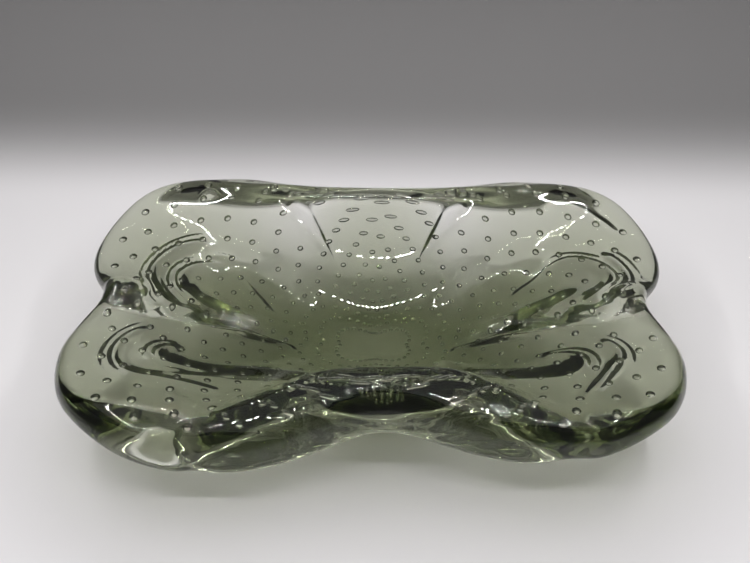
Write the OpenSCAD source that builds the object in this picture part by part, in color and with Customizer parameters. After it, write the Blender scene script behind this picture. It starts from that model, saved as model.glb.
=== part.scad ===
// Art glass bowl with four flared corner lobes, pinched ends and a grid of trapped air bubbles.
// Two gathers of hot glass: an inner gather pressed with rows of pits, and an outer casing that
// closes each pit into a bubble. Millimetres, +Z up, origin at the centre of the ground base.

/* [Outline] */
// Half length of the rounded rectangle that the four lobes follow
half_length = 155; // [145:1:160]
// Half width of the same rounded rectangle
half_width = 121; // [112:1:126]
// How far each short end is pinched in between its two lobes
pinch_depth = 15.5; // [6:0.5:18]
// Width of the pinch, as an angle from the middle of the bowl, in degrees
pinch_angle = 9; // [8:1:14]
// How far the middle of each long side is drawn in
waist_depth = 30; // [20:1:32]
// Width of the waist, as an angle from the middle of the bowl, in degrees
waist_angle = 33; // [26:1:36]
// How far the front waist sits off the middle of its side, in degrees
waist_turn = 7; // [0:1:8]

/* [Bowl] */
// Radius of the ground base
base_radius = 42; // [36:1:44]
// Thickness of the glass in the middle of the well
floor_thick = 21; // [18:0.5:22]
// Height that the inside climbs from the middle of the well to the lobes
well_depth = 25.5; // [22:0.5:28]
// Radius over which the inside climbs
well_radius = 70; // [64:1:76]
// Extra rise of the lobes from the middle of the bowl out to their corners
lobe_rise = 12; // [8:1:14]
// How far the lobes lift towards the long sides
lobe_lift = 8; // [4:0.5:9]
// How far the lobes droop towards the short ends
lobe_droop = 6; // [2:0.5:7]
// Thickness of the lobes
lobe_thick = 14.5; // [13:0.5:16]

/* [Long sides] */
// Height of the crest in the middle of the back
back_height = 68; // [64:1:70]
// Distance of the back crest from the middle of the bowl
back_out = 80; // [76:1:82]
// Half length of the back crest, which runs out gently into the lobes
back_half = 78; // [72:1:82]
// Height of the crest in the middle of the front
front_height = 66; // [62:1:68]
// Distance of the front crest from the middle of the bowl
front_out = 84; // [80:1:86]
// Half length of the front crest, which runs out sharply into the lobes
front_half = 47; // [42:1:50]
// Fall of the outer face of a crest for each millimetre outwards
crest_fall = 0.57; // [0.4:0.01:0.7]
// How much thicker the front wall is than the lobes
front_extra = 7; // [4:0.5:8]
// How far the back lobes lift above the back crest
back_lift = 4; // [2:0.5:5]
// How far the front crest sits off the middle of its side
crest_shift = 9; // [0:1:12]

/* [Folds] */
// Height of the ridge that runs in from each pinch
ridge_height = 1; // [0:0.5:4]
// Depth of the trough inside each lobe
trough_depth = 2; // [0:0.5:5]
// How far the thick tongue under each lobe reaches beyond the round body
tongue_length = 48; // [38:1:50]
// Height of the fold that runs out from each end of a crest
fold_height = 3; // [1:0.5:4]

/* [Bubbles] */
// Rings of bubbles between the middle of the well and the rim
rings = 12; // [10:1:13]
// Thickness of the inner gather over the bubbles
lining = 5; // [4:0.1:5]
// Half width of a bubble in the outermost ring
bubble_half = 1.9; // [1.2:0.1:2.2]

/* [Hidden] */

per_ring = 40;               // bubbles in each ring
cols = 2 * per_ring;         // two columns of points for each bubble
col_step = 360 / cols;
face_rows = 18;              // rows of points on the inside and on the underside
rim_half = 7;                // radius of the rounded rim
rim_steps = 9;               // steps round the rim from its top to its underside
seam_step = 4;               // the step of the rim where the two gathers meet
first_ring = 0.2;            // share of the way to the rim where the bubbles begin and end
last_ring = 0.95;
corner_power = 3.45;         // squareness of the outline
rim_roll = 3;                // how far the inside turns down as it meets the rim
wall_start = 38;             // distance from the middle where the long walls begin to climb
wall_gain = 38;              // height of a long wall at its crest
wall_power = 1.5;
front_power = 3.2;           // how squarely each crest runs out into its lobes
back_power = 2.6;
body_height = 41.5;          // height of the round body under the lobes
body_power = 1.6;
body_reach = 72;             // radius of the round body under the lobes
lobe_dir = 19.5;             // direction of a trough and its tongue from the long axis, degrees
tongue_half = 16;            // half width of a tongue, in degrees
trough_mid = 70;             // distance of a trough's middle from the middle of the bowl
trough_half = [38, 22];      // half length and half width of a trough
fold_near = [34, 66];        // ends of the fold on the inside, in one quarter of the bowl
fold_far = [84, 106];
crease_near = [24, 61];      // ends of the crease on the outside of each long wall
crease_far = [48, 80];
crease_depth = 3;

// ---- shape helpers ----
function clamp01(t) = max(0, min(1, t));
function ease(t) = let(c = clamp01(t)) c * c * (3 - 2 * c);
function bell(t) = exp(-t * t);
function soft_min(a, b, k) = let(h = max(k - abs(a - b), 0) / k) min(a, b) - h * h * k / 4;
function soft_ramp(t) = (t + sqrt(t * t + 0.0225)) / 2;
function from_long_axis(a) = atan2(abs(sin(a)), abs(cos(a)));
function shifted(x, y) = x - crest_shift * ease(-y / 70);
function to_line(x, y, near, far) =
    let(p = [abs(x), abs(y)] - near, d = far - near, t = clamp01(p * d / (d * d)))
    norm(p - t * d);

// Distance of the rim from the middle, in direction a
function outline(a) =
    let(off_waist = a <= 180 ? a - 90 : a - 270 - waist_turn)
    pow(pow(abs(cos(a)) / half_length, corner_power)
        + pow(abs(sin(a)) / half_width, corner_power), -1 / corner_power)
    - pinch_depth * bell(from_long_axis(a) / pinch_angle)
    - waist_depth * bell(off_waist / waist_angle);

// ---- height of the inside ----
function lobes(x, y) =
    let(r = norm([x, y]))
    floor_thick + well_depth * (1 - bell(r / well_radius)) + lobe_rise * pow(r / 150, 2)
    + lobe_lift * ease((abs(y) - 50) / 80) * ease(abs(x) / 60)
    - lobe_droop * ease((abs(x) - 80) / 80) * ease(abs(y) / 30);
function trough(x, y) =
    let(along = abs(x) * cos(lobe_dir) + abs(y) * sin(lobe_dir),
        across = abs(y) * cos(lobe_dir) - abs(x) * sin(lobe_dir),
        q = pow((along - trough_mid) / trough_half[0], 2) + pow(across / trough_half[1], 2))
    trough_depth * ease((1.2 - q) / 0.9);
function ridge(x, y) =
    ridge_height * pow(abs(x) / 130, 1.2) * exp(-(sqrt(y * y + 6) - 2.4) / 9);
function run_out(x, y) =
    y > 0 ? exp(-pow(abs(x) / back_half, back_power)) : exp(-pow(abs(x) / front_half, front_power));
function crest_out(y) = y > 0 ? back_out : front_out;
function long_wall(x, y) =
    wall_gain * pow(soft_ramp((abs(y) - wall_start) / (crest_out(y) - wall_start)), wall_power)
    * run_out(x, y);
function corner_lift(x, y) = back_lift * ease((y - 60) / 40) * bell((abs(x) - 92) / 38);
function crest_face(y) =
    (y > 0 ? back_height : front_height) - crest_fall * (abs(y) - crest_out(y));
function top_z(r, a) =
    let(x = r * cos(a), y = r * sin(a), side = shifted(x, y))
    soft_min(lobes(x, y) - trough(x, y) + ridge(x, y) + long_wall(side, y), crest_face(y), 7)
    + fold_height * bell(to_line(side, y, fold_near, fold_far) / 8) * (1 - 0.7 * ease(y / 20))
    + corner_lift(x, y)
    - rim_roll * pow(max(r / outline(a) - 0.85, 0) / 0.15, 2);

// ---- height of the underside ----
function thickness(x, y) = lobe_thick + front_extra * ease((-y - 50) / 18) * bell(x / 62);
function body_edge(a) =
    body_reach + tongue_length * exp(-pow(abs(from_long_axis(a) - lobe_dir) / tongue_half, 4))
    - 12 * bell(from_long_axis(a) / 4.5);
function under_z(r, a) =
    let(t = max(r - base_radius, 0) / (body_edge(a) - base_radius),
        x = r * cos(a), y = r * sin(a), side = shifted(x, y),
        low = soft_min(top_z(r, a) - thickness(side, y), body_height * pow(t, body_power), 4))
    r <= base_radius ? 0 : max(0, low + crease_depth * bell(to_line(side, y, crease_near, crease_far) / 4));

// ---- height of the seam between the gathers ----
function top_slope(r, a) = top_z(r + 0.5, a) - top_z(r - 0.5, a);
function seam_z(r, a) = top_z(r, a) - lining * sqrt(1 + pow(top_slope(r, a), 2));

// ---- points ----
function at(r, a, z) = [r * cos(a), r * sin(a), z];
function rim_point(a, k) =
    let(turn = 180 * k / rim_steps, r = outline(a) - rim_half + rim_half * sin(turn),
        top = top_z(r, a), under = under_z(r, a))
    at(r, a, (top + under) / 2 + (top - under) / 2 * cos(turn));

function top_row(i) =
    [for (m = [0:cols - 1]) let(a = m * col_step, r = (outline(a) - rim_half) * i / face_rows)
        at(r, a, top_z(r, a))];
function rim_row(k) = [for (m = [0:cols - 1]) rim_point(m * col_step, k)];
function under_row(i) =
    [for (m = [0:cols - 1]) let(a = m * col_step, far = outline(a) - rim_half,
        r = base_radius + (far - base_radius) * i / face_rows) at(r, a, under_z(r, a))];

// Ring i of bubbles: its share of the way to the rim, and the half width of its bubbles
function ring_share(i) = first_ring + (last_ring - first_ring) * (i - 1) / (rings - 1);
function ring_half(i) = bubble_half * (0.25 + 0.75 * ring_share(i));
// Every other ring is turned by half a step, so its bubbles sit between those of the next ring
function odd(i) = i % 2;
function bubble_angle(i, j) = (2 * j + 0.5 + odd(i)) * col_step;
function ring_radius(i, a) = (outline(a) - rim_half) * ring_share(i);

// Column m of ring i runs along one side or the other of bubble j
function seam_point(i, m, side) =
    let(j = floor((m - odd(i) + cols) % cols / 2), mid = bubble_angle(i, j),
        near = ring_radius(i, mid), turn = asin(ring_half(i) / near),
        a = mid + (is_pit(i, m) ? -turn : turn), r = near + side * ring_half(i))
    at(r, a, seam_z(r, a));
function seam_row(i, side) = [for (m = [0:cols - 1]) seam_point(i, m, side)];
function seam_rows() = [for (i = [1:rings]) for (side = [-1, 1]) seam_row(i, side)];
function pit_point(i, j) =
    let(a = bubble_angle(i, j), r = ring_radius(i, a)) at(r, a, seam_z(r, a) + 1.5 * ring_half(i));

// ---- faces ----
function flat(lists) = [for (l = lists) for (p = l) p];
// Two triangles over a quad, split along its shorter diagonal; flip turns them to face down
function quad(p, a, b, c, d, flip) =
    let(pair = norm(p[a] - p[c]) <= norm(p[b] - p[d]) ? [[a, b, c], [a, c, d]] : [[a, b, d], [b, c, d]])
    flip ? [for (t = pair) [t[0], t[2], t[1]]] : pair;
// The strip between two rows of points that start at index near and index far
function strip(p, near, far, flip) =
    [for (m = [0:cols - 1]) let(n = (m + 1) % cols)
        each quad(p, near + m, near + n, far + n, far + m, flip)];
function strips(p, start, count, flip) =
    flat([for (n = [0:count - 2]) strip(p, start + n * cols, start + (n + 1) * cols, flip)]);
function fan(centre, start, flip) =
    [for (m = [0:cols - 1]) let(a = start + m, b = start + (m + 1) % cols)
        flip ? [centre, a, b] : [centre, b, a]];
// The strip along ring i, where each bubble is a pit of four faces
function is_pit(i, m) = (m + odd(i)) % 2 == 0;
function pit_strip(p, start, i, pits) =
    [for (m = [0:cols - 1]) let(n = (m + 1) % cols, near = start + 2 * (i - 1) * cols,
        a = near + m, b = near + n, c = b + cols, d = a + cols,
        tip = pits + (i - 1) * per_ring + floor(m / 2))
        each is_pit(i, m) ? [[b, a, tip], [c, b, tip], [d, c, tip], [a, d, tip]]
            : quad(p, a, b, c, d, true)];

// The lining: its inside face, the top half of the rim, and its pitted outer face
module inner_gather() {
    upper = concat([for (i = [1:face_rows]) top_row(i)], [for (k = [1:seam_step]) rim_row(k)]);
    seam = seam_rows();
    seam_at = 1 + len(upper) * cols;
    middle = seam_at + len(seam) * cols;
    pits = middle + 1;
    p = concat([at(0, 0, top_z(0, 0))], flat(upper), flat(seam), [at(0, 0, seam_z(0, 0))],
        [for (i = [1:rings]) for (j = [0:per_ring - 1]) pit_point(i, j)]);
    faces = concat(
        fan(0, 1, false),
        strips(p, 1, len(upper), false),
        strip(p, middle - cols, seam_at - cols, true),
        flat([for (i = [1:rings]) pit_strip(p, seam_at, i, pits)]),
        flat([for (i = [1:rings - 1]) let(near = seam_at + (2 * i - 1) * cols)
            strip(p, near, near + cols, true)]),
        fan(middle, seam_at, true));
    color([0.62, 0.65, 0.56, 0.6]) polyhedron(p, faces, convexity = 8);
}

// The casing: its face against the lining, the lower half of the rim, the underside and the base
module outer_casing() {
    seam = seam_rows();
    lower = concat([for (k = [seam_step:rim_steps - 1]) rim_row(k)],
        [for (i = [face_rows:-1:0]) under_row(i)]);
    middle = 1 + (len(seam) + len(lower)) * cols;
    p = concat([at(0, 0, seam_z(0, 0))], flat(seam), flat(lower), [[0, 0, 0]]);
    faces = concat(
        fan(0, 1, false),
        strips(p, 1, len(seam) + len(lower), false),
        fan(middle, middle - cols, true));
    color([0.45, 0.5, 0.42, 0.6]) polyhedron(p, faces, convexity = 8);
}

inner_gather();
outer_casing();
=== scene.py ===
"""Art glass bowl with four flared lobes and a grid of trapped bubbles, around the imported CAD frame.

The bowl is one closed mesh: the glass surface, and inside it one small closed shell for each bubble.
Shape values are in millimetres, as in the CAD source, and the meshes are scaled to metres.
"""
import math

import bpy
import numpy as np
from mathutils import Matrix, Vector


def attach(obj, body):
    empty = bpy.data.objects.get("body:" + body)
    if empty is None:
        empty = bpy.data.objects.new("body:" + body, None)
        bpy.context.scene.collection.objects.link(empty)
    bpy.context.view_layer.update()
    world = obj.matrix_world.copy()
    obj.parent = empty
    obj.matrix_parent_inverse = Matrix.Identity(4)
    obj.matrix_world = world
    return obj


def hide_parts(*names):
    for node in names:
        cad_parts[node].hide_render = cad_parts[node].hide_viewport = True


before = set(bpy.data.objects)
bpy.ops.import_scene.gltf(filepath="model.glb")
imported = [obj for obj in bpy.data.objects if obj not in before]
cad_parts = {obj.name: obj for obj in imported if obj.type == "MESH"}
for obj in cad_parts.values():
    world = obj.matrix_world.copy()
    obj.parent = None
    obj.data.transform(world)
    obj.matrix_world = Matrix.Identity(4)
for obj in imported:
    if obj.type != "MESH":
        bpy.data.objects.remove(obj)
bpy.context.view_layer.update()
MM = 0.001

# ---- outline, millimetres and degrees ----
HALF_LENGTH, HALF_WIDTH, CORNER_POWER = 155.0, 121.0, 3.45
PINCH_DEPTH, PINCH_ANGLE = 15.5, 9.0
WAIST_DEPTH, WAIST_ANGLE, WAIST_TURN = 30.0, 33.0, 7.0

# ---- inside of the bowl ----
BASE_RADIUS, FLOOR_THICK = 42.0, 21.0
WELL_DEPTH, WELL_RADIUS = 25.5, 70.0
# The lobes rise outwards, lift towards the corners from LIFT_START, and droop from DROOP_START
LOBE_RISE, LOBE_REACH = 12.0, 150.0
LOBE_LIFT, LIFT_START, LIFT_RUN, LIFT_SIDE = 8.0, 50.0, 80.0, 60.0
LOBE_DROOP, DROOP_START, DROOP_RUN, DROOP_SIDE = 6.0, 80.0, 80.0, 30.0
# Each long wall: height of its crest, distance of the crest from the middle, half length along the
# side, and how suddenly the wall ends there
BACK_HEIGHT, BACK_OUT, BACK_HALF, BACK_POWER = 68.0, 80.0, 78.0, 2.6
FRONT_HEIGHT, FRONT_OUT, FRONT_HALF, FRONT_POWER = 66.0, 84.0, 47.0, 3.2
# The outer face falls away from the crest, and the front wall sits to one side of the middle
CREST_FALL, CREST_BLEND, CREST_SHIFT, SHIFT_RUN = 0.57, 7.0, 9.0, 70.0
WALL_START, WALL_GAIN, WALL_POWER, RAMP_ROUND = 38.0, 38.0, 1.5, 0.15
CORNER_LIFT, CORNER_START, CORNER_RUN, CORNER_MID, CORNER_HALF = 4.0, 60.0, 40.0, 92.0, 38.0
RIDGE_HEIGHT, RIDGE_FAR, RIDGE_POWER, RIDGE_HALF = 1.0, 130.0, 1.2, 9.0
DIMPLE, DIMPLE_DEPTH, DIMPLE_HALF = (86.0, 29.0), 2.2, 9.0
LOBE_DIRECTION = 19.5
TROUGH_DEPTH, TROUGH_MID, TROUGH_HALF = 2.0, 70.0, (38.0, 22.0)
# The trough starts at TROUGH_EDGE of its half axes squared and is full TROUGH_SLOPE further in
TROUGH_EDGE, TROUGH_SLOPE = 1.2, 0.9
# A raised fold from each long wall out into each lobe, of which FOLD_LOST is missing at the back
FOLD_HEIGHT, FOLD_HALF, FOLD_NEAR, FOLD_FAR = 3.0, 8.0, (34.0, 66.0), (84.0, 106.0)
FOLD_LOST, FOLD_FADE = 0.7, 20.0
RIM_HALF, RIM_ROLL, ROLL_SHARE = 7.5, 3.0, 0.15

# ---- thickness of the glass, measured upwards ----
LOBE_THICK, LEAST_THICK = 14.5, 7.0
# The long walls: how much thinner the back one is and how much thicker the front one, half their
# length, and from where to where that grows
BACK_LESS, FRONT_MORE, WALL_HALF, WALL_EDGE, WALL_RUN = 7.5, 7.0, 62.0, 50.0, 18.0
# The front rim swells by RIM_BEAD over BEAD_RUN, from BEAD_START inside the outline
RIM_BEAD, BEAD_START, BEAD_RUN, BEAD_FADE = 4.0, 46.0, 36.0, 40.0
# The back rim is thinner by RIM_TAPER, and the back lobes as a whole are thicker by LOBE_EXTRA
RIM_TAPER, TAPER_START, TAPER_RUN, TAPER_FADE = 1.5, 38.0, 32.0, 50.0
LOBE_EXTRA, EXTRA_BACK, EXTRA_SIDE, EXTRA_RUN = 1.5, 10.0, 45.0, 30.0

# ---- outside of the bowl ----
BODY_HEIGHT, BODY_POWER, BODY_REACH = 41.5, 1.6, 72.0
TONGUE_LENGTH, TONGUE_HALF = 48.0, 16.0
# Under each pinch the body is drawn in, and it runs smoothly into the lobes over BODY_BLEND
PINCH_IN, PINCH_IN_ANGLE, BODY_BLEND = 12.0, 4.5, 4.0

# ---- tool marks: folds pressed into the glass while it was hot ----
# Each hook lies under one lobe: the lobe's sides along x and y, then, measured outwards, the centre of
# an arc, its half axes, its first and last angle, and the straight tail that it runs out in
HOOKS = (
    (-1, -1, (104.0, 38.0), (23.0, 22.0), (-50, 90), ((104.0, 60.0), (72.0, 67.0))),
    (-1, -1, (97.0, 37.0), (9.0, 8.0), (-60, 100), ((95.0, 45.0), (66.0, 47.0))),
    (1, -1, (111.0, 34.0), (12.0, 11.0), (-55, 20), ((122.0, 38.0), (101.0, 75.0))),
    (1, -1, (88.0, 40.0), (17.0, 13.0), (-75, 110), ((84.0, 53.0), (64.0, 52.0))),
    (-1, 1, (97.0, 29.0), (24.0, 29.0), (-88, 85), None),
    (-1, 1, (87.0, 28.0), (19.0, 20.0), (-50, 122), ((77.0, 44.0), (59.0, 25.0))),
    (1, 1, (108.0, 28.0), (27.0, 29.0), (-88, 40), None),
    (1, 1, (106.0, 28.0), (22.0, 20.0), (-60, 120), ((95.0, 46.0), (77.0, 32.0))),
)
HOOK_DEPTH, HOOK_HALF, HOOK_RUN_OUT, HOOK_RISE = 4.4, 2.4, 12.0, 15.0
# Fainter lines beside each hook: distance from it, half width, share of its depth
HOOK_ECHOES = ((5.0, 1.4, 0.4), (-4.6, 1.4, 0.25))
CREASE_PATH = ((49.0, 75.0), (36.0, 66.0), (24.0, 61.0))
CREASE_DEPTH, CREASE_END, CREASE_SWELL = 5.0, 0.8, 3.0
DENT_PATH = ((48.5, 67.0), (36.0, 59.5), (23.0, 51.0))
DENT_DEPTH, DENT_HALF = 1.4, 1.6
FOLD_RIGHT = ((93.0, 88.0), (106.0, 87.0), (117.0, 82.0), (126.0, 75.0), (134.0, 66.0))
FOLD_LEFT = ((-101.0, 92.0), (-88.0, 92.0))
FOLD_MARK_DEPTH, FOLD_MARK_HALF = 4.2, 3.2
SEAM_PATH = ((134.0, 10.0), (112.0, 14.0), (92.0, 13.0), (66.0, 7.0), (38.0, 11.0))
SEAM_DEPTH, SEAM_HALF = 4.5, 2.2
CURL_LEFT = (
    (-112.0, -72.0), (-98.0, -76.0), (-85.0, -83.0), (-75.0, -91.0), (-69.0, -99.0), (-76.0, -105.0)
)
CURL_RIGHT = (
    (116.0, -68.0), (104.0, -80.0), (97.0, -89.0), (98.0, -97.0), (106.0, -102.0), (114.0, -101.0)
)
CURL_DEPTH, CURL_HALF = 1.0, 1.5
STREAK_HEIGHT, STREAK_START, STREAK_RUN, STREAK_HALF = 0.22, 34.0, 12.0, 80.0
# The waves come in two sizes: radians a millimetre, share of the height
BROAD_WAVES, FINE_WAVES = (1.25, 1.0), (2.1, 0.6)
# They also show on top of the front rim, from TOP_START outwards
TOP_START, TOP_RUN = 74.0, 6.0
KNOT, KNOT_HEIGHT, KNOT_HALF, KNOT_STRETCH = (130.0, 3.0), 3.0, 8.0, 1.3
SWIRL_HEIGHT, SWIRL_PITCH = 0.6, 1.1

# ---- bubbles ----
PER_RING, RINGS, FIRST_RING, RING_TURN = 40, 15, 2, 0.25
BUBBLE_DEPTH, BUBBLE_LEAST, BUBBLE_GAIN, BUBBLE_POWER = 5.0, 0.8, 1.55, 0.9
# The least glass over or under a bubble
SKIN = 0.4
# The last ring stops RING_MARGIN of a ring inside the rim, and slopes are measured SLOPE_STEP each way
RING_MARGIN, SLOPE_STEP = 0.6, 0.5
# Faces round each bubble and from its top to its bottom
AROUND, DOWN = 8, 6
# Width round the bowl, width outwards and height of a bubble, and what is added where it is drawn out
SPREAD, DRAWN_OUT = (1.15, 1.0, 0.75), (2.6, -0.45, -0.2)
DRAWN_HALF, DRAWN_START, DRAWN_RUN = 42.0, 50.0, 30.0

# ---- mesh ----
COLUMNS, INSIDE_ROWS, RIM_ROWS, UNDER_ROWS = 440, 60, 12, 100
# Rows of the inside lie closer together towards the rim
ROW_POWER = 0.75

# ---- glass and paper ----
# Unevenness: waves a metre, strength, height in metres
GLASS_BUMP, PAPER_BUMP = (38, 0.22, 0.0008), (1400, 0.12, 0.0002)
GLASS_TINT, GLASS_DENSITY, GLASS_IOR = (0.72, 0.75, 0.62, 1), 96, 1.51
# The far paper colour is painted shade: the grey of the wall behind the bowl, which the lamps above
# light only at a graze
PAPER_NEAR, PAPER_PAINTED_SHADE = (0.74, 0.72, 0.74, 1), (0.19, 0.185, 0.187, 1)
# Metres behind the middle of the bowl between which the paper's colour darkens to painted shade,
# standing for the wall turning away from the lamps above
PAINTED_SHADE_SPAN = (0.165, 0.275)

# ---- lights ----
LAMP_COLOR, LAMP_STRENGTH = (1, 1, 0.98, 1), 240
TENT_SIZE, TENT_PLACE, TENT_ENERGY = (0.9, 1.0), (0, -0.2, 0.62), 0.95
WORLD_COLOR, WORLD_STRENGTH = (0.80, 0.80, 0.84, 1), 0.16

# ---- camera: degrees, and metres from the point that it aims at ----
CAMERA_HEIGHT, CAMERA_TURN, CAMERA_ROLL = 36.08, 1.97, 0.38
CAMERA_DISTANCE, CAMERA_AIM = 0.6269, (0.0007, 0.014, 0.0514)


def ease(t):
    c = np.clip(t, 0, 1)
    return c * c * (3 - 2 * c)


def bell(t):
    return np.exp(-t * t)


def soft_min(a, b, k):
    h = np.maximum(k - np.abs(a - b), 0) / k
    return np.minimum(a, b) - h * h * k / 4


def soft_ramp(t):
    return (t + np.sqrt(t * t + RAMP_ROUND**2)) / 2


def from_long_axis(angle):
    return np.degrees(np.arctan2(np.abs(np.sin(angle)), np.abs(np.cos(angle))))


def shifted(x, y):
    """x measured from the middle of the long side, which sits off centre at the front."""
    return x - CREST_SHIFT * ease(-y / SHIFT_RUN)


def to_line(x, y, near, far):
    """Distance from a line in one quarter of the bowl, and its mirror images in the others."""
    px, py = np.abs(x) - near[0], np.abs(y) - near[1]
    dx, dy = far[0] - near[0], far[1] - near[1]
    t = np.clip((px * dx + py * dy) / (dx * dx + dy * dy), 0, 1)
    return np.hypot(px - t * dx, py - t * dy)


def outline(angle):
    """Distance of the rim from the middle."""
    turn = np.degrees(angle) % 360
    off_waist = np.where(turn > 180, turn - 270 - WAIST_TURN, turn - 90)
    corner = (np.abs(np.cos(angle)) / HALF_LENGTH) ** CORNER_POWER
    corner = corner + (np.abs(np.sin(angle)) / HALF_WIDTH) ** CORNER_POWER
    pinch = PINCH_DEPTH * bell(from_long_axis(angle) / PINCH_ANGLE)
    return corner ** (-1 / CORNER_POWER) - pinch - WAIST_DEPTH * bell(off_waist / WAIST_ANGLE)


def trough(x, y):
    """The shallow hollow of each lobe, with a dimple in it."""
    turn = math.radians(LOBE_DIRECTION)
    along = np.abs(x) * math.cos(turn) + np.abs(y) * math.sin(turn)
    across = np.abs(y) * math.cos(turn) - np.abs(x) * math.sin(turn)
    q = ((along - TROUGH_MID) / TROUGH_HALF[0]) ** 2 + (across / TROUGH_HALF[1]) ** 2
    dimple = bell(np.hypot(np.abs(x) - DIMPLE[0], np.abs(y) - DIMPLE[1]) / DIMPLE_HALF)
    return TROUGH_DEPTH * ease((TROUGH_EDGE - q) / TROUGH_SLOPE) + DIMPLE_DEPTH * dimple


def along_path(x, y, path):
    """Distance from a path of straight stretches, and how far along it the nearest point is, 0 to 1."""
    best, share = np.full(np.shape(x), 1e9), np.zeros(np.shape(x))
    for k in range(len(path) - 1):
        (ax, ay), (bx, by) = path[k], path[k + 1]
        dx, dy = bx - ax, by - ay
        t = np.clip(((x - ax) * dx + (y - ay) * dy) / (dx * dx + dy * dy), 0, 1)
        gap = np.hypot(x - ax - t * dx, y - ay - t * dy)
        share = np.where(gap < best, (k + t) / (len(path) - 1), share)
        best = np.minimum(best, gap)
    return best, share


def fade(share):
    """A mark is deepest along its middle and runs out at both ends."""
    return np.sqrt(np.clip(4 * share * (1 - share), 0, 1))


def hook(x, y, mark):
    """Depth of one hook mark."""
    side_x, side_y, (cx, cy), (a, b), (first, last), tail = mark
    x, y = x * side_x, y * side_y
    u, v = (x - cx) / a, (y - cy) / b
    angle = np.degrees(np.arctan2(v, u))
    # Angles well before the first belong after the last
    angle = np.where(angle < first - 60, angle + 360, angle)
    beside = (np.hypot(u, v) - 1) * (a + b) / 2
    past = np.maximum(np.maximum(first - angle, angle - last), 0) / HOOK_RUN_OUT
    depth = bell(beside / HOOK_HALF) * bell(past)
    if tail:
        far, share = along_path(x, y, tail)
        depth = np.maximum(depth, bell(far / HOOK_HALF) * (1 - share**4))
    for away, half, part in HOOK_ECHOES:
        depth = depth + part * bell((beside - away) / half) * bell(past)
    return HOOK_DEPTH * depth


def hooks(x, y):
    return np.max([hook(x, y, mark) for mark in HOOKS], axis=0)


def rim_folds(x, y):
    """The long fold under the back right rim, and the short one at the back left."""
    gap, share = along_path(x, y, FOLD_RIGHT)
    depth = bell(gap / FOLD_MARK_HALF) * fade(share)
    gap, share = along_path(x, y, FOLD_LEFT)
    return FOLD_MARK_DEPTH * (depth + bell(gap / FOLD_MARK_HALF) * fade(share))


def creases(x, y):
    """The sharp folds up the outside of both long walls."""
    gap, share = along_path(np.abs(shifted(x, y)), np.abs(y), CREASE_PATH)
    half = CREASE_END + CREASE_SWELL * fade(share)
    return CREASE_DEPTH * bell(gap / half) * fade(share)


def dents(x, y):
    """The same folds where they show on the inside of the back wall."""
    gap, share = along_path(np.abs(x), y, DENT_PATH)
    return DENT_DEPTH * bell(gap / DENT_HALF) * fade(share)


def seams(x, y):
    """The closed cleft that runs from each pinch into the well."""
    gap, share = along_path(np.abs(x), -y, SEAM_PATH)
    return SEAM_DEPTH * bell(gap / SEAM_HALF) * (1 - share**3)


def curls(x, y):
    """The line that curls round the front of each front lobe."""
    depth = 0
    for path in (CURL_LEFT, CURL_RIGHT):
        gap, share = along_path(x, y, path)
        depth = depth + CURL_DEPTH * bell(gap / CURL_HALF) * fade(share)
    return depth


def streaks(x, y):
    """Fine waves along the front wall, left by the tool that drew it in."""
    broad = BROAD_WAVES[1] * np.sin((y + 2.5 * np.sin(x / 23)) * BROAD_WAVES[0])
    fine = FINE_WAVES[1] * np.sin((y - 1.8 * np.sin(x / 17 + 1)) * FINE_WAVES[0])
    where = ease((-y - STREAK_START) / STREAK_RUN) * bell(shifted(x, y) / STREAK_HALF) ** 2
    return STREAK_HEIGHT * (broad + fine) * where


def knots(x, y):
    """The lump of gathered glass at each pinch, with a swirl pressed round it."""
    gap = np.hypot((np.abs(x) - KNOT[0]) / KNOT_STRETCH, y - KNOT[1])
    turn = np.arctan2(y - KNOT[1], np.abs(x) - KNOT[0])
    swirl = np.sin(gap * SWIRL_PITCH + turn) * bell(gap / (KNOT_STRETCH * KNOT_HALF))
    return KNOT_HEIGHT * bell(gap / KNOT_HALF) + SWIRL_HEIGHT * swirl


def long_wall(side, y):
    """Height of the long walls over the lobes, with side measured from the middle of each."""
    out = np.where(y > 0, BACK_OUT, FRONT_OUT)
    climb = soft_ramp((np.abs(y) - WALL_START) / (out - WALL_START)) ** WALL_POWER
    front = np.exp(-((np.abs(side) / FRONT_HALF) ** FRONT_POWER))
    back = np.exp(-((np.abs(side) / BACK_HALF) ** BACK_POWER))
    return WALL_GAIN * climb * np.where(y > 0, back, front)


def crest_face(y):
    """Height of the outer face of each long wall, which caps it."""
    crest, out = np.where(y > 0, BACK_HEIGHT, FRONT_HEIGHT), np.where(y > 0, BACK_OUT, FRONT_OUT)
    return crest - CREST_FALL * (np.abs(y) - out)


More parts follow.
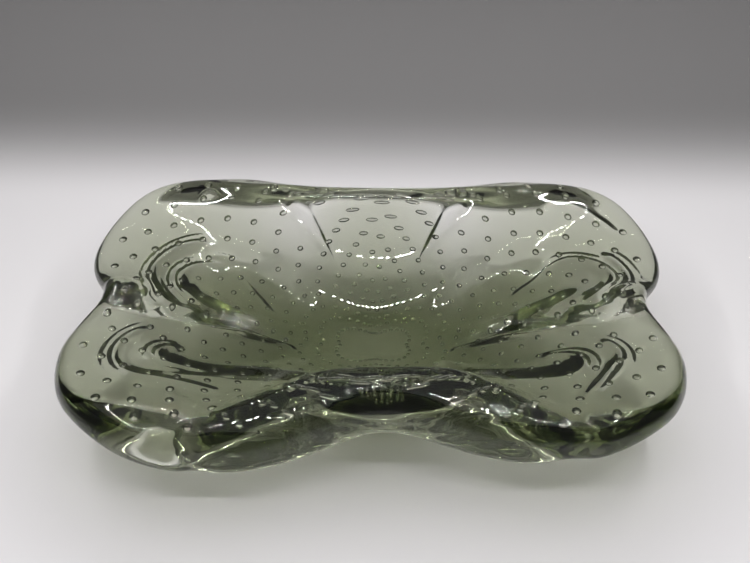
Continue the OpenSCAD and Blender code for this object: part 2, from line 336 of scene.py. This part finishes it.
def smooth_top_z(x, y):
    """Height of the inside, without the tool marks and the roll of the rim."""
    r = np.hypot(x, y)
    lobes = FLOOR_THICK + WELL_DEPTH * (1 - bell(r / WELL_RADIUS)) + LOBE_RISE * (r / LOBE_REACH) ** 2
    lobes = lobes + LOBE_LIFT * ease((np.abs(y) - LIFT_START) / LIFT_RUN) * ease(np.abs(x) / LIFT_SIDE)
    droop = ease((np.abs(x) - DROOP_START) / DROOP_RUN) * ease(np.abs(y) / DROOP_SIDE)
    lobes = lobes - LOBE_DROOP * droop
    # Distance from the long axis, rounded on the axis itself
    beside = np.sqrt(y * y + 6) - 2.4
    ridge = RIDGE_HEIGHT * (np.abs(x) / RIDGE_FAR) ** RIDGE_POWER * np.exp(-beside / RIDGE_HALF)
    side = shifted(x, y)
    fold = FOLD_HEIGHT * bell(to_line(side, y, FOLD_NEAR, FOLD_FAR) / FOLD_HALF)
    fold = fold * (1 - FOLD_LOST * ease(y / FOLD_FADE))
    corner = CORNER_LIFT * ease((y - CORNER_START) / CORNER_RUN)
    corner = corner * bell((np.abs(x) - CORNER_MID) / CORNER_HALF)
    inside = lobes - trough(x, y) + ridge + long_wall(side, y)
    return soft_min(inside, crest_face(y), CREST_BLEND) + fold + corner


def top_z(x, y):
    """Height of the inside."""
    share = np.hypot(x, y) / outline(np.arctan2(y, x))
    roll = RIM_ROLL * (np.maximum(share - (1 - ROLL_SHARE), 0) / ROLL_SHARE) ** 2
    pressed = roll + seams(x, y) + curls(x, y) + dents(x, y)
    waves = streaks(x, y + 1) * ease((-y - TOP_START) / TOP_RUN)
    return smooth_top_z(x, y) - pressed + knots(x, y) + waves


def body_edge(angle):
    """Radius where the thick body ends under the lobes."""
    d = from_long_axis(angle)
    tongue = TONGUE_LENGTH * np.exp(-((np.abs(d - LOBE_DIRECTION) / TONGUE_HALF) ** 4))
    return BODY_REACH + tongue - PINCH_IN * bell(d / PINCH_IN_ANGLE)


def thickness(x, y):
    """Thickness of the lobes and the long walls, measured upwards."""
    inside = outline(np.arctan2(y, x)) - np.hypot(x, y)
    wall = ease((np.abs(y) - WALL_EDGE) / WALL_RUN) * bell(shifted(x, y) / WALL_HALF)
    wall = wall * np.where(y > 0, -BACK_LESS, FRONT_MORE)
    bead = RIM_BEAD * ease((BEAD_START - inside) / BEAD_RUN) * ease(-y / BEAD_FADE)
    taper = RIM_TAPER * ease((TAPER_START - inside) / TAPER_RUN) * ease(y / TAPER_FADE)
    back = LOBE_EXTRA * ease((y - EXTRA_BACK) / EXTRA_RUN) * ease((np.abs(x) - EXTRA_SIDE) / EXTRA_RUN)
    return np.maximum(LOBE_THICK + wall + bead - taper + back, LEAST_THICK)


def under_z(x, y):
    """Height of the underside."""
    r = np.hypot(x, y)
    t = np.maximum(r - BASE_RADIUS, 0) / (body_edge(np.arctan2(y, x)) - BASE_RADIUS)
    low = soft_min(smooth_top_z(x, y) - thickness(x, y), BODY_HEIGHT * t**BODY_POWER, BODY_BLEND)
    low = low + streaks(x, y) + rim_folds(x, y) + creases(x, y)
    low = low + hooks(x, y) * ease((r - BASE_RADIUS) / HOOK_RISE)
    return np.where(r < BASE_RADIUS, 0.0, np.maximum(low, 0))


def bowl_rows():
    """Rows of points from the middle of the inside, round the rim, to the middle of the base."""
    angle = np.arange(COLUMNS) * 2 * np.pi / COLUMNS
    c, s = np.cos(angle), np.sin(angle)
    inner = outline(angle) - RIM_HALF
    rows = []
    for i in range(1, INSIDE_ROWS + 1):
        r = inner * (i / INSIDE_ROWS) ** ROW_POWER
        rows.append((r * c, r * s, top_z(r * c, r * s)))
    for i in range(1, RIM_ROWS):
        turn = math.pi * i / RIM_ROWS
        r = inner + RIM_HALF * math.sin(turn)
        top, under = top_z(r * c, r * s), under_z(r * c, r * s)
        rows.append((r * c, r * s, (top + under) / 2 + (top - under) / 2 * math.cos(turn)))
    for i in range(UNDER_ROWS, 0, -1):
        r = inner * i / UNDER_ROWS
        rows.append((r * c, r * s, under_z(r * c, r * s)))
    return [np.stack(row, 1) for row in rows]


def bowl_surface():
    """Points and faces of the glass surface."""
    rows = bowl_rows()
    points = [[(0, 0, float(top_z(0.0, 0.0)))], *[row.tolist() for row in rows], [(0, 0, 0)]]
    points = [p for row in points for p in row]
    faces = [(0, 1 + j, 1 + (j + 1) % COLUMNS) for j in range(COLUMNS)]
    for i in range(len(rows) - 1):
        near, far = 1 + i * COLUMNS, 1 + (i + 1) * COLUMNS
        for j in range(COLUMNS):
            k = (j + 1) % COLUMNS
            faces.append((near + j, far + j, far + k, near + k))
    last = len(points) - 1
    near = last - COLUMNS
    faces += [(near + j, last, near + (j + 1) % COLUMNS) for j in range(COLUMNS)]
    return points, faces


def bubble_places():
    """Centre, size, directions and spread of each bubble. Every second ring is turned by half a step."""
    for ring in range(FIRST_RING, RINGS + 1):
        for j in range(PER_RING):
            angle = 2 * math.pi * (j + RING_TURN + 0.5 * (ring % 2)) / PER_RING
            r = (float(outline(np.array(angle))) - RIM_HALF) * ring / (RINGS + RING_MARGIN)
            x, y = r * math.cos(angle), r * math.sin(angle)
            rise_x = float(smooth_top_z(x + SLOPE_STEP, y) - smooth_top_z(x - SLOPE_STEP, y))
            rise_y = float(smooth_top_z(x, y + SLOPE_STEP) - smooth_top_z(x, y - SLOPE_STEP))
            up = Vector((-rise_x, -rise_y, 2 * SLOPE_STEP)).normalized()
            round_ = Vector((-math.sin(angle), math.cos(angle), 0))
            round_ = (round_ - up * round_.dot(up)).normalized()
            centre = Vector((x, y, float(smooth_top_z(x, y)))) - up * BUBBLE_DEPTH
            size = BUBBLE_LEAST + BUBBLE_GAIN * (r / LOBE_REACH) ** BUBBLE_POWER
            # Bubbles in the long walls were drawn out along them
            drawn = float(bell(shifted(x, y) / DRAWN_HALF))
            drawn *= float(ease((abs(y) - DRAWN_START) / DRAWN_RUN))
            spread = [plain + more * drawn for plain, more in zip(SPREAD, DRAWN_OUT)]
            yield centre, size, (round_, up.cross(round_), up), spread


def bubble_shell(centre, size, axes, spread):
    """Points of one bubble: rings round it from top to bottom, then its two ends."""
    u, v, w = (axis * (reach * size) for axis, reach in zip(axes, spread))
    shell = []
    for a in range(1, DOWN):
        tilt = math.pi * a / DOWN
        for b in range(AROUND):
            turn = 2 * math.pi * b / AROUND
            out = u * math.cos(turn) + v * math.sin(turn)
            shell.append(centre + out * math.sin(tilt) + w * math.cos(tilt))
    return shell + [centre + w, centre - w]


def inside_glass(shell):
    """Whether there is glass over and under every point of a bubble."""
    x, y, z = np.array(shell).T
    return bool(np.all(z < top_z(x, y) - SKIN) and np.all(z > under_z(x, y) + SKIN))


def bubbles(first):
    """Points and faces of the bubbles, numbered from first. Their faces look inwards, into the air."""
    points, faces = [], []
    for place in bubble_places():
        start = first + len(points)
        shell = bubble_shell(*place)
        if not inside_glass(shell):
            continue
        points += shell
        top, last = start + (DOWN - 1) * AROUND, start + (DOWN - 2) * AROUND
        for b in range(AROUND):
            c = (b + 1) % AROUND
            faces.append((top, start + c, start + b))
            faces.append((top + 1, last + b, last + c))
            for a in range(DOWN - 2):
                near, far = start + a * AROUND, start + (a + 1) * AROUND
                faces.append((near + b, near + c, far + c, far + b))
    return points, faces


def make_mesh(name, points, faces, material):
    """A smooth object from points in millimetres."""
    mesh = bpy.data.meshes.new(name)
    mesh.from_pydata([tuple(c * MM for c in p) for p in points], [], faces)
    mesh.shade_smooth()
    mesh.materials.append(material)
    piece = bpy.data.objects.new(name, mesh)
    bpy.context.collection.objects.link(piece)
    return piece


def new_material(name):
    material = bpy.data.materials.new(name)
    material.use_nodes = True
    return material, material.node_tree


def add_bump(tree, shader, bumps):
    """Slight unevenness of a surface."""
    scale, strength, distance = bumps
    place = tree.nodes.new("ShaderNodeTexCoord")
    noise = tree.nodes.new("ShaderNodeTexNoise")
    noise.inputs["Scale"].default_value = scale
    noise.inputs["Detail"].default_value = 1.5
    bump = tree.nodes.new("ShaderNodeBump")
    bump.inputs["Strength"].default_value = strength
    bump.inputs["Distance"].default_value = distance
    tree.links.new(place.outputs["Object"], noise.inputs["Vector"])
    tree.links.new(noise.outputs[0], bump.inputs["Height"])
    tree.links.new(bump.outputs[0], shader.inputs["Normal"])


def smoke_glass():
    """Clear grey-green glass, tinted by its depth, with the slight waviness of hand-worked glass."""
    material, tree = new_material("smoke_glass")
    shader = tree.nodes["Principled BSDF"]
    shader.inputs["Base Color"].default_value = (1, 1, 1, 1)
    shader.inputs["Roughness"].default_value = 0.0
    shader.inputs["IOR"].default_value = GLASS_IOR
    shader.inputs["Transmission Weight"].default_value = 1
    add_bump(tree, shader, GLASS_BUMP)
    depth = tree.nodes.new("ShaderNodeVolumeAbsorption")
    depth.inputs["Color"].default_value = GLASS_TINT
    depth.inputs["Density"].default_value = GLASS_DENSITY
    tree.links.new(depth.outputs[0], tree.nodes["Material Output"].inputs["Volume"])
    return material


def paper():
    """Pale paper with painted shade: its colour turns grey where it turns up behind the bowl, and it is
    clear from behind.
    """
    material, tree = new_material("paper")
    shader = tree.nodes["Principled BSDF"]
    shader.inputs["Roughness"].default_value = 0.9
    add_bump(tree, shader, PAPER_BUMP)
    # Painted shade: the colour darkens to grey from the floor up the wall behind the bowl, standing for
    # the shade where the wall faces away from the lamps above
    place = tree.nodes.new("ShaderNodeTexCoord")
    axes = tree.nodes.new("ShaderNodeSeparateXYZ")
    painted_shade = tree.nodes.new("ShaderNodeMapRange")
    painted_shade.interpolation_type = "SMOOTHERSTEP"
    painted_shade.inputs["From Min"].default_value, painted_shade.inputs["From Max"].default_value = PAINTED_SHADE_SPAN
    mix = tree.nodes.new("ShaderNodeMix")
    mix.data_type = "RGBA"
    mix.inputs["A"].default_value = PAPER_NEAR
    mix.inputs["B"].default_value = PAPER_PAINTED_SHADE
    tree.links.new(place.outputs["Object"], axes.inputs[0])
    tree.links.new(axes.outputs["Y"], painted_shade.inputs["Value"])
    tree.links.new(painted_shade.outputs[0], mix.inputs["Factor"])
    tree.links.new(mix.outputs["Result"], shader.inputs["Base Color"])
    # From behind, the wall is clear, so that the bowl can be looked at from every side
    side = tree.nodes.new("ShaderNodeNewGeometry")
    clear = tree.nodes.new("ShaderNodeBsdfTransparent")
    either = tree.nodes.new("ShaderNodeMixShader")
    tree.links.new(side.outputs["Backfacing"], either.inputs[0])
    tree.links.new(shader.outputs[0], either.inputs[1])
    tree.links.new(clear.outputs[0], either.inputs[2])
    tree.links.new(either.outputs[0], tree.nodes["Material Output"].inputs["Surface"])
    return material


def make_stage():
    """A pale floor that curves up into a wall close behind the bowl. It lies just under the base."""
    half, front, back, bend, height, gap, steps = 1200, -900, 190, 130, 900, 0.3, 16
    profile = [(front, -gap)]
    for k in range(steps + 1):
        turn = math.pi / 2 * k / steps
        profile.append((back + bend * math.sin(turn), bend - bend * math.cos(turn) - gap))
    profile.append((back + bend, height))
    points = [(x, y, z) for y, z in profile for x in (-half, half)]
    faces = [(2 * i, 2 * i + 1, 2 * i + 3, 2 * i + 2) for i in range(len(profile) - 1)]
    make_mesh("floor", points, faces, paper())


def make_surround():
    """The rest of the tent: a round cove of the same paper about the stage, a little below its floor."""
    reach, bend, height, low, around, steps = 1600, 300, 1100, -1, 64, 12
    profile = []
    for a in np.linspace(0, math.pi / 2, steps):
        profile.append((reach - bend + bend * math.sin(a), bend - bend * math.cos(a) + low))
    profile.append((reach, height))
    turns = np.linspace(0, 2 * math.pi, around, False)
    points, faces = [(0, 0, low)], []
    for r, z in profile:
        points += [(r * math.cos(a), r * math.sin(a), z) for a in turns]
    for j in range(around):
        k = (j + 1) % around
        faces.append((0, 1 + j, 1 + k))
        for i in range(len(profile) - 1):
            near, far = 1 + i * around, 1 + (i + 1) * around
            faces.append((near + j, far + j, far + k, near + k))
    make_mesh("surround", points, faces, paper())


def lamp_glow():
    material, tree = new_material("lamp")
    tree.nodes.clear()
    shader = tree.nodes.new("ShaderNodeEmission")
    shader.inputs["Color"].default_value = LAMP_COLOR
    shader.inputs["Strength"].default_value = LAMP_STRENGTH
    out = tree.nodes.new("ShaderNodeOutputMaterial")
    tree.links.new(shader.outputs[0], out.inputs["Surface"])
    return material


def make_lamps():
    """A frame of small square lamps under the top of a light tent, and the soft glow of the top."""
    half_x, near, far, height, side, count = 300, -350, 210, 500, 3, 40
    points, faces = [], []
    for k in range(count):
        share = k / (count - 1)
        x, y = half_x * (2 * share - 1), near + (far - near) * share
        for u, v in ((x, near), (x, far), (-half_x, y), (half_x, y)):
            start = len(points)
            points += [(u + a, v + b, height) for a in (-side, side) for b in (-side, side)]
            faces.append((start, start + 1, start + 3, start + 2))
    make_mesh("lamps", points, faces, lamp_glow())
    top = bpy.data.lights.new("tent_top", "AREA")
    top.shape, top.energy = "RECTANGLE", TENT_ENERGY
    top.size, top.size_y = TENT_SIZE
    soft = bpy.data.objects.new("tent_top", top)
    soft.location = TENT_PLACE
    bpy.context.collection.objects.link(soft)


def make_world():
    world = bpy.data.worlds.new("studio")
    bpy.context.scene.world = world
    world.use_nodes = True
    sky = world.node_tree.nodes["Background"]
    sky.inputs["Color"].default_value = WORLD_COLOR
    sky.inputs["Strength"].default_value = WORLD_STRENGTH


def make_camera():
    """In front of the bowl, a little to its right, and 36 degrees above the table."""
    height, turn, roll = map(math.radians, (CAMERA_HEIGHT, CAMERA_TURN, CAMERA_ROLL))
    level = math.cos(height)
    back = Vector((math.sin(turn) * level, -math.cos(turn) * level, math.sin(height)))
    data = bpy.data.cameras.new("camera")
    data.sensor_width, data.lens, data.clip_start = 36, 57.7, 0.01
    camera = bpy.data.objects.new("camera", data)
    bpy.context.collection.objects.link(camera)
    place = Matrix.Translation(Vector(CAMERA_AIM) + back * CAMERA_DISTANCE)
    aimed = (-back).to_track_quat("-Z", "Y").to_matrix().to_4x4()
    camera.matrix_world = place @ aimed @ Matrix.Rotation(-roll, 4, "Z")
    bpy.context.scene.camera = camera


def set_light_paths():
    scene = bpy.context.scene
    scene.cycles.max_bounces = 24
    scene.cycles.transmission_bounces = 24
    scene.cycles.glossy_bounces = 16
    scene.cycles.transparent_max_bounces = 16
    scene.cycles.sample_clamp_indirect = 40
    scene.cycles.use_denoising = True
    scene.view_settings.view_transform = "Standard"


def make_bowl():
    points, faces = bowl_surface()
    bubble_points, bubble_faces = bubbles(len(points))
    points, faces = points + [tuple(p) for p in bubble_points], faces + bubble_faces
    bowl = make_mesh("bowl_glass", points, faces, smoke_glass())
    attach(bowl, "root")
    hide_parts("inner_gather", "outer_casing")


make_bowl()
make_stage()
make_surround()
make_lamps()
make_world()
make_camera()
set_light_paths()
